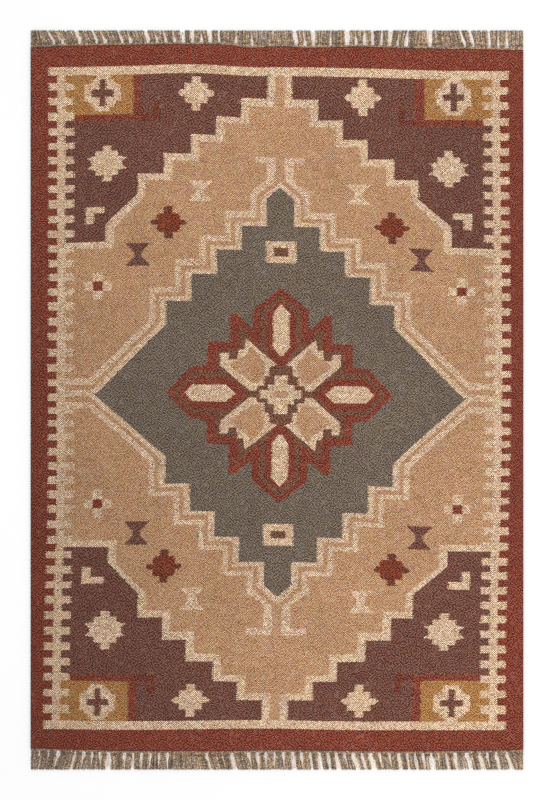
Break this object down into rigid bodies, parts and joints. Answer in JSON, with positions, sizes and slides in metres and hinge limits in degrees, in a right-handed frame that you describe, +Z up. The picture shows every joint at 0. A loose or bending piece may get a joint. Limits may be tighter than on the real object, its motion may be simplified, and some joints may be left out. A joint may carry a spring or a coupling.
{
  "type": "dhurrie rug",
  "caption": "Rectangular handwoven flatweave rug lying flat, with a knotted and trimmed yarn fringe along each short end.",
  "frame": {"origin": "centre of the rug's outline, on the surface that it lies on", "axes": "+X across the width, +Y along the length towards the head end, +Z up out of the face"},
  "size_m": [1.221, 1.828, 0.006],
  "materials": {
    "woven_wool": "matte heathered wool and jute flatweave in tan, brick red, aubergine, slate, mustard and cream",
    "taupe_yarn": "matte taupe warp yarn, knotted and trimmed"
  },
  "bodies": {
    "root": {"cloth": "woven_wool", "head_fringe": "taupe_yarn", "foot_fringe": "taupe_yarn"}
  },
  "joints": []
}
